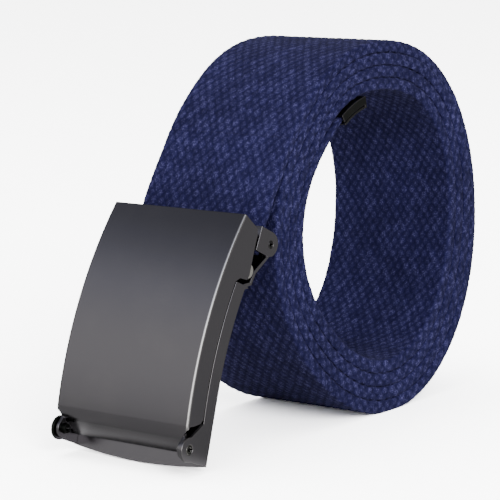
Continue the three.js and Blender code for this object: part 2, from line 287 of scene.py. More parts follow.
class Graph:
    """Adds nodes to one tree and links them."""

    def __init__(self, tree: NodeTree) -> None:
        """Keeps the tree that the nodes go into."""
        self.tree = tree

    def node(self, kind: str, inputs: dict[Any, Any] | None = None, **settings: Any) -> Any:
        """Adds a node.

        Args:
            kind: The node's type.
            inputs: Socket values, or sockets to link from, by name or number.
            **settings: The node's own options.

        Returns:
            The node.
        """
        made = self.tree.nodes.new(kind)
        for key, value in settings.items():
            setattr(made, key, value)
        self.fill(made.inputs, inputs or {})
        return made

    def fill(self, sockets: Any, values: dict[Any, Any]) -> None:
        """Feeds several sockets, by name or number."""
        for key, value in values.items():
            self.feed(sockets[key], value)

    def feed(self, socket: Any, value: Any) -> None:
        """Links a socket from another one, or sets its value.

        Args:
            socket: The socket that takes the value.
            value: A value, or a socket to link from.
        """
        if isinstance(value, bpy.types.NodeSocket):
            self.tree.links.new(value, socket)
        else:
            socket.default_value = value

    def math(self, operation: str, *values: Any) -> Any:
        """A Math node's result for these values or sockets."""
        made = self.node("ShaderNodeMath", dict(enumerate(values)), operation=operation)
        return made.outputs[0]

    def times(self, a: Any, b: Any) -> Any:
        """The product of two values or sockets."""
        return self.math("MULTIPLY", a, b)

    def mix(self, factor: Any, a: Any, b: Any, blend: str = "MIX") -> Any:
        """The first colour with a share of the second laid over it."""
        inputs = {0: factor, 6: a, 7: b}
        return self.node("ShaderNodeMix", inputs, data_type="RGBA", blend_type=blend).outputs[2]

    def spread(self, value: Any, low: float, high: float, to_low: float, to_high: float) -> Any:
        """A value's range mapped onto another, clamped."""
        inputs = {0: value, 1: low, 2: high, 3: to_low, 4: to_high}
        return self.node("ShaderNodeMapRange", inputs).outputs[0]

    def noise(self, vector: Any, scale: float, detail: float = 2, roughness: float = 0.5) -> Any:
        """Noise read at a vector, at a scale per metre."""
        inputs = {"Vector": vector, "Scale": scale, "Detail": detail, "Roughness": roughness}
        return self.node("ShaderNodeTexNoise", inputs).outputs[0]


def new_group(
    name: str, kind: str, inputs: dict[str, str], outputs: dict[str, str]
) -> tuple[NodeTree, Graph, Any, Any]:
    """A node group with named sockets.

    Args:
        name: The group's name.
        kind: The group's type.
        inputs: Socket types of the inputs, by name.
        outputs: Socket types of the outputs, by name.

    Returns:
        The group, its graph, the sockets of its inputs and those of its outputs.
    """
    tree = bpy.data.node_groups.new(name, kind)
    for way, sockets in (("INPUT", inputs), ("OUTPUT", outputs)):
        for key, socket in sockets.items():
            tree.interface.new_socket(name=key, in_out=way, socket_type=socket)
    g = Graph(tree)
    return tree, g, g.node("NodeGroupInput").outputs, g.node("NodeGroupOutput").inputs


def placed(name: str, data: Any) -> Object:
    """A new object in the scene.

    Args:
        name: The object's name.
        data: The mesh, light or camera that it shows.

    Returns:
        The object.
    """
    made = bpy.data.objects.new(name, data)
    bpy.context.scene.collection.objects.link(made)
    return made


FLOAT, COLOR, VECTOR = "NodeSocketFloat", "NodeSocketColor", "NodeSocketVector"
GEOMETRY, MATERIAL = "NodeSocketGeometry", "NodeSocketMaterial"
LOOK = {"Color": COLOR, "Roughness": FLOAT, "Height": FLOAT}

# Noise scales over a piece's own place, per metre
# HIGHLIT_TIPS sets the specks of painted highlight on the bead tops
LINT, FUZZ, HIGHLIT_TIPS, DRIFT = 1350, 3600, 2300, 45
SMEAR, GRAIN, PITS = 60, 5200, 1500


def yarn_group() -> NodeTree:
    """The look of plied yarn in a plain weave, as a shader group, with painted shade in the
    hollows and a speckled painted highlight on the bead tops.

    Returns:
        The group, which gives a colour, a roughness and a height.
    """
    inputs = {"Weave": VECTOR, "Place": VECTOR, "Rise": FLOAT, "Tint": FLOAT,
              "Hollow": COLOR, "Body": COLOR, "Crown": COLOR}
    tree, g, given, out = new_group("yarn", "ShaderNodeTree", inputs, LOOK)
    split = g.node("ShaderNodeSeparateXYZ", {0: given["Weave"]}).outputs
    cord, pick = split[0], split[1]
    lint = g.noise(given["Place"], LINT, 3, 0.7)
    fuzz = g.noise(given["Place"], FUZZ, 3, 0.7)
    rough = g.math("ADD", g.times(lint, 0.65), g.times(fuzz, 0.35))
    loose = g.times(g.math("SUBTRACT", rough, 0.5), 2.2)
    level = g.math("ADD", given["Rise"], loose)
    # Painted shade: the colour darkens towards Hollow where the yarn lies low between the beads
    body = g.mix(g.spread(level, 0.2, 0.75, 0, 1), given["Hollow"], given["Body"])
    # Painted highlight: specks of the lighter Crown colour on the raised bead tops
    specks = g.spread(g.noise(given["Place"], HIGHLIT_TIPS, 2, 0.7), 0.48, 0.6, 0.1, 1)
    tip_highlight = g.times(g.spread(level, 0.55, 1.15, 0.06, 1), specks)
    crown = g.mix(tip_highlight, body, given["Crown"])
    drift = g.spread(g.noise(given["Place"], DRIFT, 2), 0.3, 0.7, 0.86, 1.12)
    shade = g.times(g.spread(given["Tint"], 0, 1, 0.88, 1.12), drift)
    even = g.node("ShaderNodeCombineColor", {0: shade, 1: shade, 2: shade}).outputs[0]
    colour = g.mix(1.0, crown, even, "MULTIPLY")
    twist = g.math("ADD", cord, g.times(pick, 0.8))
    strands = g.math("ABSOLUTE", g.math("SINE", g.times(twist, math.pi * 3)))
    height = g.math("ADD", g.times(strands, 0.3), g.times(rough, 1.6))
    roughness = g.spread(fuzz, 0.2, 0.8, 0.82, 1.0)
    g.fill(out, {"Color": colour, "Roughness": roughness, "Height": height})
    return tree


def plating_group() -> NodeTree:
    """The look of plated sheet metal: handling smears, fine scratches and specks.

    Returns:
        The group, which gives a colour, a roughness and a height.
    """
    inputs = {"Place": VECTOR, "Tone": COLOR, "Rub": COLOR, "Smooth": FLOAT, "Rough": FLOAT}
    tree, g, given, out = new_group("plating", "ShaderNodeTree", inputs, LOOK)
    smear = g.noise(given["Place"], SMEAR, 3, 0.6)
    stretch = g.node(
        "ShaderNodeMapping", {"Vector": given["Place"], "Scale": (1.0, 0.06, 1.0)}
    ).outputs[0]
    grain = g.noise(stretch, GRAIN, 3, 0.6)
    specks = g.spread(g.noise(given["Place"], PITS, 2, 0.6), 0.66, 0.74, 0, 1)
    handled = g.spread(smear, 0.45, 0.75, 0, 0.5)
    rub = g.times(handled, g.spread(grain, 0.4, 0.6, 0.3, 1))
    colour = g.mix(rub, given["Tone"], given["Rub"])
    colour = g.mix(g.times(specks, 0.25), colour, given["Rub"])
    share = g.math("ADD", g.times(smear, 0.6), g.times(grain, 0.4))
    span = g.math("SUBTRACT", given["Rough"], given["Smooth"])
    roughness = g.math("ADD", given["Smooth"], g.times(span, share))
    height = g.math("ADD", grain, g.times(specks, 0.8))
    g.fill(out, {"Color": colour, "Roughness": roughness, "Height": height})
    return tree


# Finishes

Pair = tuple[float, float]
Triple = tuple[float, float, float]
Tone = tuple[float, float, float, float]


def grey(level: float) -> Tone:
    """A grey of this level."""
    return (level, level, level, 1)


def shader_of(name: str) -> tuple[Material, Graph, Any]:
    """A new material with its Principled BSDF.

    Args:
        name: The material's name.

    Returns:
        The material, its graph and its shader node.
    """
    material = bpy.data.materials.new(name)
    material.use_nodes = True
    tree = material.node_tree
    return material, Graph(tree), tree.nodes["Principled BSDF"]


def grouped_look(
    name: str, look: NodeTree, relief: float, strength: float
) -> tuple[Material, Graph, Any, Any]:
    """A material whose colour, roughness and bumps come from a shared group.

    Args:
        name: The material's name.
        look: The group.
        relief: The height of its bumps in millimetres.
        strength: How strongly they show.

    Returns:
        The material, its graph, its group node's inputs and its shader's inputs.
    """
    material, g, shader = shader_of(name)
    group = g.node("ShaderNodeGroup", node_tree=look)
    g.feed(group.inputs["Place"], g.node("ShaderNodeTexCoord").outputs["Object"])
    colour, roughness, height = (group.outputs[key] for key in LOOK)
    bump = {"Height": height, "Distance": relief * MM, "Strength": strength}
    normal = g.node("ShaderNodeBump", bump).outputs[0]
    g.fill(shader.inputs, {"Base Color": colour, "Roughness": roughness, "Normal": normal})
    return material, g, group.inputs, shader.inputs


@dataclass(frozen=True)
class WebbingFinish:
    """Dyed cotton webbing, with painted shade in its hollows and a painted highlight on its bead
    tops.
    """

    # hollow is painted shade between the beads, crown a painted highlight on their tops
    hollow: Tone = (0.0058, 0.0056, 0.033, 1)
    body: Tone = (0.0124, 0.012, 0.053, 1)
    crown: Tone = (0.068, 0.065, 0.175, 1)
    relief_mm: float = 0.22
    relief_strength: float = 0.7
    sheen: float = 0.012
    sheen_roughness: float = 0.5
    specular: float = 0.08

    def material(self, yarn: NodeTree) -> Material:
        """The finish as a material.

        Args:
            yarn: The shared yarn group.

        Returns:
            The material.
        """
        material, g, weave, shader = grouped_look(
            "navy_webbing", yarn, self.relief_mm, self.relief_strength
        )
        g.feed(weave["Weave"], g.node("ShaderNodeUVMap", uv_map="weave").outputs[0])
        for name in ("Rise", "Tint"):
            stored = g.node("ShaderNodeAttribute", attribute_name=name.lower())
            g.feed(weave[name], stored.outputs["Fac"])
        g.fill(weave, {"Hollow": self.hollow, "Body": self.body, "Crown": self.crown})
        g.fill(shader, {"Sheen Weight": self.sheen, "Sheen Roughness": self.sheen_roughness,
                        "Specular IOR Level": self.specular})
        return material


@dataclass(frozen=True)
class MetalFinish:
    """Plated or bare sheet metal."""

    name: str
    tone: Tone
    rub: Tone
    smooth: float
    rough: float
    relief_mm: float = 0.003
    relief_strength: float = 0.5

    def material(self, plating: NodeTree) -> Material:
        """The finish as a material.

        Args:
            plating: The shared plating group.

        Returns:
            The material.
        """
        material, g, metal, shader = grouped_look(
            self.name, plating, self.relief_mm, self.relief_strength
        )
        g.fill(metal, {"Tone": self.tone, "Rub": self.rub, "Smooth": self.smooth,
                       "Rough": self.rough})
        g.feed(shader["Metallic"], 1.0)
        return material


class Metal(Enum):
    """The buckle's finishes, among them painted highlights and painted shade."""

    GUNMETAL = MetalFinish(
        "gunmetal", (0.155, 0.148, 0.158, 1), (0.19, 0.18, 0.185, 1), 0.16, 0.26
    )
    # Edges lightened partly as wear and partly as a painted highlight where they catch light
    WORN_AND_HIGHLIT_EDGE = MetalFinish("worn_and_highlit_edge", (0.2, 0.19, 0.195, 1), (0.42, 0.41, 0.4, 1), 0.16, 0.26)
    # Painted highlight: a light tone laid on the lid's near fold
    HIGHLIT_FOLD = MetalFinish(
        "highlit_fold", (0.38, 0.37, 0.365, 1), (0.55, 0.54, 0.53, 1), 0.2, 0.3
    )
    STEEL = MetalFinish("bare_steel", (0.62, 0.6, 0.56, 1), (0.75, 0.73, 0.7, 1), 0.16, 0.3)
    # Black finish of the tip and pins, also painted shade on the lid's top edge and far fold, the
    # far ear and the far pin's edges
    BLACKENED_AND_SHADE = MetalFinish(
        "blackened_and_shade", (0.022, 0.024, 0.021, 1), (0.08, 0.08, 0.075, 1), 0.3, 0.5
    )


# Webbing


@dataclass
class Section:
    """The strap's section as a loop of cords with rounded rims. Millimetres."""

    width: float = 38.0
    thickness: float = 3.1
    corner: float = 0.6
    corner_points: int = 13
    cords: int = 64
    relief: float = 0.2
    base_share: float = 0.7  # how much of the relief stands above the base surface

    def __post_init__(self) -> None:
        """Works out the loop: points, outward directions and lengths round it."""
        w = self.width / 2 - self.relief * self.base_share
        h = self.thickness / 2 - self.relief * self.base_share
        r = min(self.corner, h * 0.9)
        corners = ((r - w, h - r, 180), (w - r, h - r, 90), (w - r, r - h, 0), (r - w, r - h, -90))
        arcs = [
            np.array([y, z]) + polar(r, turn)
            for y, z, first in corners
            for turn in np.linspace(first, first - 90, self.corner_points)
        ]
        half = 2 * self.corner_points
        self.points = np.array([(-w, 0.0), *arcs[:half], (w, 0.0), *arcs[half:], (-w, 0.0)])
        steps = np.linalg.norm(np.diff(self.points, axis=0), axis=1)
        self.lengths = np.concatenate([[0], np.cumsum(steps)])
        self.cord_pitch = self.lengths[-1] / self.cords

    def at(self, cords: np.ndarray) -> tuple[np.ndarray, np.ndarray]:
        """Points and outward directions at places counted in cords round the loop.

        Args:
            cords: The places, from 0 at the middle of the near rim.

        Returns:
            The points and the directions.
        """
        span = self.lengths[-1]

        def place(q: np.ndarray) -> np.ndarray:
            """The points of the loop at places counted in cords."""
            s = np.mod(q * self.cord_pitch, span)
            return np.column_stack([np.interp(s, self.lengths, axis) for axis in self.points.T])

        step = 0.12
        way = place(cords + step) - place(cords - step)
        way /= np.linalg.norm(way, axis=1)[:, None]
        return place(cords), np.column_stack([-way[:, 1], way[:, 0]])


class Shown(Enum):
    """Which faces of a stretch of strap can be seen."""

    OUTER = "outer"
    INNER = "inner"
    RIMS = "rims"
    BOTH = "both"


@dataclass
class Webbing:
    """The woven strap, made in stretches along one route."""

    route: Route
    section: Section = field(default_factory=Section)
    pick_pitch: float = 1.85
    skew: float = 0.08
    rows_per_pick: float = 5.0
    columns_per_cord: int = 5
    hidden_columns: int = 8
    bead_width: float = 0.88
    bead_length: float = 0.8
    under: float = 0.45
    unevenness: float = 0.3
    slack: float = 0.1
    lint: float = 0.26
    slack_scale: float = 55
    lint_scale: float = 1300
    row_tint: float = 0.35
    bead_bluntness: float = 0.6
    lap_deg: float = 366
    run_lead: float = 4
    seed: int = 7

    def columns(self, shown: Shown) -> np.ndarray:
        """Where the loop has its columns, in cords, finer where the strap shows.

        Args:
            shown: Which faces can be seen.

        Returns:
            The columns' places.
        """
        cords = self.section.cords
        rim = 3
        half = cords // 2
        spans = [
            (0, rim, True),
            (rim, half - rim, shown in (Shown.OUTER, Shown.BOTH)),
            (half - rim, half + rim, True),
            (half + rim, cords - rim, shown in (Shown.INNER, Shown.BOTH)),
            (cords - rim, cords, True),
        ]
        parts = []
        for low, high, fine in spans:
            count = (high - low) * self.columns_per_cord if fine else self.hidden_columns
            parts.append(np.linspace(low, high, count + 1)[:-1])
        return np.concatenate(parts)

    def band(self, name: str, start: float, end: float, shown: Shown) -> Object:
        """A plain closed stretch of strap that carries its weave as attributes.

        Args:
            name: The piece's name.
            start: Where it starts along the strap.
            end: Where it ends.
            shown: Which faces can be seen.

        Returns:
            The object.
        """
        rows = max(2, round((end - start) / self.pick_pitch * self.rows_per_pick) + 1)
        along = np.linspace(start, end, rows)
        cords = self.columns(shown)
        columns = len(cords)
        loop, normals = self.section.at(cords)
        route = self.route
        base = self.section.thickness / 2
        places = route.places(along) + route.middle
        outs = route.outwards(along)
        squeeze = route.halves(along) / base
        y = loop[None, :, 0] + route.shifts(along)[:, None]
        lift = loop[None, :, 1] * squeeze[:, None]
        x = places[:, 0, None] + outs[:, 0, None] * lift
        z = places[:, 1, None] + outs[:, 1, None] * lift
        points = np.stack([x, y, z], axis=2) * MM
        outward = np.stack(
            [
                outs[:, 0, None] * normals[None, :, 1],
                np.repeat(normals[None, :, 0], rows, axis=0),
                outs[:, 1, None] * normals[None, :, 1],
            ],
            axis=2,
        )
        pick = (along[:, None] + self.skew * loop[None, :, 0]) / self.pick_pitch
        cord = np.repeat(cords[None, :], rows, axis=0)
        mesh = self._grid_mesh(name, points, cords, pick)
        for key, kind, prop, data in (
            ("cord", "FLOAT", "value", cord),
            ("pick", "FLOAT", "value", pick),
            ("outward", "FLOAT_VECTOR", "vector", outward),
        ):
            layer = mesh.attributes.new(key, kind, "POINT")
            layer.data.foreach_set(prop, data.astype(np.float32).ravel())
        LOG.info("%s: %d columns, %d rows", name, columns, rows)
        return placed(name, mesh)

    def _grid_mesh(
        self, name: str, points: np.ndarray, cords: np.ndarray, pick: np.ndarray
    ) -> Mesh:
        """A closed mesh of rows of loops with two caps and a map of the weave.

        Args:
            name: The mesh's name.
            points: The points, by row and column.
            cords: Each column's place, in cords.
            pick: Each point's place along the strap, in picks.

        Returns:
            The mesh.
        """
        rows, columns = points.shape[:2]
        mesh = bpy.data.meshes.new(name)
        mesh.vertices.add(rows * columns)
        mesh.vertices.foreach_set("co", points.astype(np.float32).ravel())
        i, j = np.meshgrid(np.arange(rows - 1), np.arange(columns), indexing="ij")
        k = (j + 1) % columns
        here, ahead = i * columns, (i + 1) * columns
        quads = np.stack([here + j, ahead + j, ahead + k, here + k], 2)
        first = np.arange(columns)[::-1]
        last = np.arange(columns) + (rows - 1) * columns
        corners = np.concatenate([quads.ravel(), last, first])
        count = (rows - 1) * columns
        starts = np.concatenate([np.arange(count) * 4, [count * 4, count * 4 + columns]])
        mesh.loops.add(len(corners))
        mesh.loops.foreach_set("vertex_index", corners.astype(np.int32))
        mesh.polygons.add(count + 2)
        mesh.polygons.foreach_set("loop_start", starts.astype(np.int32))
        wrapped = np.append(cords, self.section.cords)
        u = np.stack([wrapped[j], wrapped[j], wrapped[j + 1], wrapped[j + 1]], 2)
        v = np.stack([pick[i, j], pick[i + 1, j], pick[i + 1, k], pick[i, k]], 2)
        quad_uv = np.stack([u, v], 3).reshape(-1, 2)
        cap_uv = np.zeros((2 * columns, 2))
        layer = mesh.uv_layers.new(name="weave")
        layer.data.foreach_set("uv", np.concatenate([quad_uv, cap_uv]).astype(np.float32).ravel())
        mesh.update(calc_edges=True)
        mesh.validate()
        smooth = np.ones(len(mesh.polygons), bool)
        smooth[count:] = False
        mesh.polygons.foreach_set("use_smooth", smooth)
        return mesh

    def weave_tree(self) -> NodeTree:
        """The plain weave as a Geometry Nodes tree that raises each cord over every other pick.

        Returns:
            The tree.
        """
        numbers = ("Relief", "Sunk Share", "Unevenness", "Slack", "Lint", "Seed",
                   "Bead Width", "Bead Length", "Under", "Cords")
        inputs = {"Band": GEOMETRY, **dict.fromkeys(numbers, FLOAT), "Webbing": MATERIAL}
        outputs = {"Woven": GEOMETRY}
        tree, g, given, out = new_group("plain_weave", "GeometryNodeTree", inputs, outputs)

        def stored(name: str, kind: str = "FLOAT") -> Any:
            """The band's attribute of this name."""
            made = g.node("GeometryNodeInputNamedAttribute", {"Name": name}, data_type=kind)
            return made.outputs[0]

        cord, pick, outward = stored("cord"), stored("pick"), stored("outward", "FLOAT_VECTOR")
        centred = g.math("SUBTRACT", cord, 0.5)
        left = g.math("FLOOR", centred)
        nearest = [g.math("ADD", left, float(i)) for i in (0, 1)]
        domes = [self._dome(g, centred, pick, column, given) for column in nearest]
        bead = g.math("MAXIMUM", domes[0][0], domes[1][0])
        second = g.math("GREATER_THAN", domes[1][0], domes[0][0])
        change = g.times(second, g.math("SUBTRACT", domes[1][1], domes[0][1]))
        tint = g.math("ADD", domes[0][1], change)
        under = g.math("ABSOLUTE", g.math("SINE", g.times(cord, math.pi)))
        rise = g.math("MAXIMUM", bead, g.times(under, given["Under"]))
        lift = g.times(g.math("SUBTRACT", rise, given["Sunk Share"]), given["Relief"])
        place = g.node("GeometryNodeInputPosition").outputs[0]
        for scale, share in ((self.slack_scale, given["Slack"]), (self.lint_scale, given["Lint"])):
            sway = g.math("SUBTRACT", g.noise(place, scale, 1), 0.5)
            lift = g.math("ADD", lift, g.times(sway, share))
        offset = g.node("ShaderNodeVectorMath", {0: outward, "Scale": lift}, operation="SCALE")
        kept = given["Band"]
        for name, value in (("rise", rise), ("tint", tint)):
            kept = g.node(
                "GeometryNodeStoreNamedAttribute",
                {"Geometry": kept, "Name": name, "Value": value},
                data_type="FLOAT", domain="POINT",
            ).outputs[0]
        steps = {"Geometry": kept, "Offset": offset.outputs[0]}
        moved = g.node("GeometryNodeSetPosition", steps).outputs[0]
        real = g.node("GeometryNodeRealizeInstances", {0: moved}).outputs[0]
        finish = {"Geometry": real, "Material": given["Webbing"]}
        dressed = g.node("GeometryNodeSetMaterial", finish).outputs[0]
        g.feed(out["Woven"], dressed)
        return tree

    def _dome(self, g: Graph, across: Any, along: Any, column: Any, given: Any) -> tuple[Any, Any]:
        """The height and the tint of one cord's nearest bead.

        Args:
            g: The tree's graph.
            across: The place across the strap, in cords.
            along: The place along it, in picks.
            column: The cord's number.
            given: The tree's inputs.

        Returns:
            The bead's height, from 0 to about 1, and its tint, which every other row has lighter.
        """
        ordinal = g.math("ROUND", g.times(g.math("SUBTRACT", along, column), 0.5))
        top = g.math("MULTIPLY_ADD", ordinal, 2.0, column)
        wrapped = g.math("FLOORED_MODULO", column, given["Cords"])
        cell = g.node("ShaderNodeCombineXYZ", {0: wrapped, 1: ordinal, 2: given["Seed"]})
        lot = g.node(
            "ShaderNodeTexWhiteNoise", {0: cell.outputs[0]}, noise_dimensions="3D"
        ).outputs[0]
        spread = g.times(g.math("SUBTRACT", lot, 0.5), given["Unevenness"])
        size = g.math("ADD", 1.0, spread)
        du = g.math("DIVIDE", g.math("SUBTRACT", across, column), given["Bead Width"])
        dv = g.math("DIVIDE", g.math("SUBTRACT", along, top), given["Bead Length"])
        far = g.math("ADD", g.times(du, du), g.times(dv, dv))
        near = g.math("MAXIMUM", g.math("SUBTRACT", 1.0, g.math("DIVIDE", far, size)), 0.0)
        own = g.times(lot, 1 - self.row_tint)
        tint = g.math("MULTIPLY_ADD", g.math("FLOORED_MODULO", column, 2.0), self.row_tint, own)
        return g.times(g.math("POWER", near, self.bead_bluntness), size), tint

    def stretches(self) -> list[tuple[str, float, float, Shown]]:
        """Name, start, end and shown faces of each stretch of the strap.

        Returns:
            The stretches, from the tip to the buckle.
        """
        at, coil = self.route.at_angle, self.route.coil
        inner_end = coil.start_deg + self.lap_deg
        outer_start = coil.end_deg - self.lap_deg
        middle = (inner_end + outer_start) / 2
        leaving = self.route.run_start - self.run_lead
        marks = [
            (0.0, Shown.INNER, "webbing_inner_a"),
            (at(coil.start_deg + self.lap_deg / 2), Shown.INNER, "webbing_inner_b"),
            (at(inner_end), Shown.RIMS, "webbing_middle_a"),
            (at(middle), Shown.RIMS, "webbing_middle_b"),
            (at(outer_start), Shown.OUTER, "webbing_outer_a"),
            (at(coil.end_deg - self.lap_deg / 2), Shown.OUTER, "webbing_outer_b"),
            (leaving, Shown.BOTH, "webbing_run"),
        ]
        ends = [m[0] for m in marks[1:]] + [self.route.total]
        return [(name, start, end, shown) for (start, shown, name), end in zip(marks, ends)]

    def build(self, material: Material) -> list[Object]:
        """Weaves every stretch.

        Args:
            material: The webbing's finish.

        Returns:
            The pieces, from the tip to the buckle.
        """
        tree = self.weave_tree()
        values = {
            "Relief": self.section.relief * MM, "Sunk Share": 1 - self.section.base_share,
            "Unevenness": self.unevenness, "Slack": self.slack * MM, "Lint": self.lint * MM,
            "Seed": float(self.seed),
            "Bead Width": self.bead_width, "Bead Length": self.bead_length, "Under": self.under,
            "Cords": float(self.section.cords), "Webbing": material,
        }
        made = []
        for name, start, end, shown in self.stretches():
            band = self.band(name, start, end, shown)
            made.append(run_tree(band, tree, values))
            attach(band, "belt")
        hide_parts("strap")
        return made


def run_tree(target: Object, tree: NodeTree, values: dict[str, Any]) -> Object:
    """Runs a Geometry Nodes tree on an object and keeps the result as its plain mesh.

    Args:
        target: The object.
        tree: The tree.
        values: The tree's inputs, by name.

    Returns:
        The object.
    """
    modifier = target.modifiers.new(tree.name, "NODES")
    modifier.node_group = tree
    keys = {s.name: s.identifier for s in tree.interface.items_tree if s.in_out == "INPUT"}
    for name, value in values.items():
        modifier[keys[name]] = value
    return bake_modifiers(target)


def bake_modifiers(target: Object) -> Object:
    """Turns an object's modifiers into its plain mesh.

    Args:
        target: The object.

    Returns:
        The object.
    """
    bpy.context.view_layer.update()
    graph = bpy.context.evaluated_depsgraph_get()
    mesh = bpy.data.meshes.new_from_object(target.evaluated_get(graph))
    target.modifiers.clear()
    target.data = mesh
    return target


# Metal pieces

Test = Callable[[Sequence[Vector]], bool]


@dataclass
class MetalPiece:
    """One metal solid with its edges rounded and lightened, as wear and as painted highlight.
    Millimetres.
    """

    node: str
    body: str
    slot: str
    finish: Material
    edge: Material
    rounding: float = 0.12
    fold_rounding: float = 0.5
    merge: float = 0.002
    flat_deg: float = 0.5
    least_edge: float = 0.03
    sharp_deg: float = 28
    smooth_deg: float = 32
    flat_area: float = 3
    is_fold: Test | None = None
    keeps_sharp: Test | None = None
    # Faces that get painted shade, and the finish that paints it
    shade_outline: Material | None = None
    is_shade_outline: Test | None = None

    def build(self) -> Object:
        """Makes the piece over its CAD solid and puts it in that solid's place.

        Returns:
            The piece.
        """
        bm = bmesh.new()
        bm.from_mesh(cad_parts[self.node].data)
        bmesh.ops.remove_doubles(bm, verts=bm.verts, dist=self.merge * MM)
        bmesh.ops.dissolve_limit(
            bm, angle_limit=math.radians(self.flat_deg), verts=bm.verts, edges=bm.edges
        )
        bmesh.ops.dissolve_degenerate(bm, dist=self.least_edge * MM, edges=bm.edges)
        weights = bm.edges.layers.float.new("bevel_weight_edge")
        largest = self.fold_rounding if self.is_fold else self.rounding
        for edge in bm.edges:
            if not edge.is_manifold or edge.calc_face_angle(0) < math.radians(self.sharp_deg):
                continue
            places = [v.co / MM for v in edge.verts]
            if self.keeps_sharp and self.keeps_sharp(places):
                continue
            fold = self.is_fold and self.is_fold(places)
            edge[weights] = 1.0 if fold else self.rounding / largest
        mesh = bpy.data.meshes.new(self.node + "_shell")
        bm.to_mesh(mesh)
        bm.free()
        for look in filter(None, (self.finish, self.edge, self.shade_outline)):
            mesh.materials.append(look)
        piece = placed(self.node + "_shell", mesh)
        bevel = piece.modifiers.new("rounding", "BEVEL")
        bevel.limit_method = "WEIGHT"
        bevel.width = largest * MM
        bevel.segments = 3 if self.is_fold else 2
        bevel.material = 1
        bevel.use_clamp_overlap = False
        bevel.harden_normals = True
        mesh.polygons.foreach_set("use_smooth", np.ones(len(mesh.polygons), bool))
        mesh.set_sharp_from_angle(angle=math.radians(self.smooth_deg))
        bake_modifiers(piece)
        self._flatten(piece.data)
        self._dress_edges(piece.data)
        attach(piece, self.body)
        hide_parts(self.node)
        return piece

    def _flatten(self, mesh: Mesh) -> None:
        """Shades large faces by their large neighbours alone, so none is dented by a small one.

        Args:
            mesh: The mesh.
        """
        normals = [corner.vector.copy() for corner in mesh.corner_normals]
        large = [face for face in mesh.polygons if face.area > self.flat_area * MM**2]
        touching: dict[int, list[Vector]] = {}
        for face in large:
            for vertex in face.vertices:
                touching.setdefault(vertex, []).append(face.normal.copy())
        least = math.cos(math.radians(self.smooth_deg))
        for face in large:
            for corner, vertex in zip(face.loop_indices, face.vertices):
                near = [way for way in touching[vertex] if way.dot(face.normal) > least]
                normals[corner] = sum(near, Vector()).normalized()
        mesh.normals_split_custom_set(normals)

    def _dress_edges(self, mesh: Mesh) -> None:
        """Paints shade black on the shaded outline, and where there are long folds leaves only
        those with their painted highlight.

        Args:
            mesh: The mesh.
        """
        for face in mesh.polygons:
            places = [mesh.vertices[v].co / MM for v in face.vertices]
            if self.is_shade_outline and self.is_shade_outline(places):
                face.material_index = 2
            elif self.is_fold and not self.is_fold(places):
                face.material_index = 0


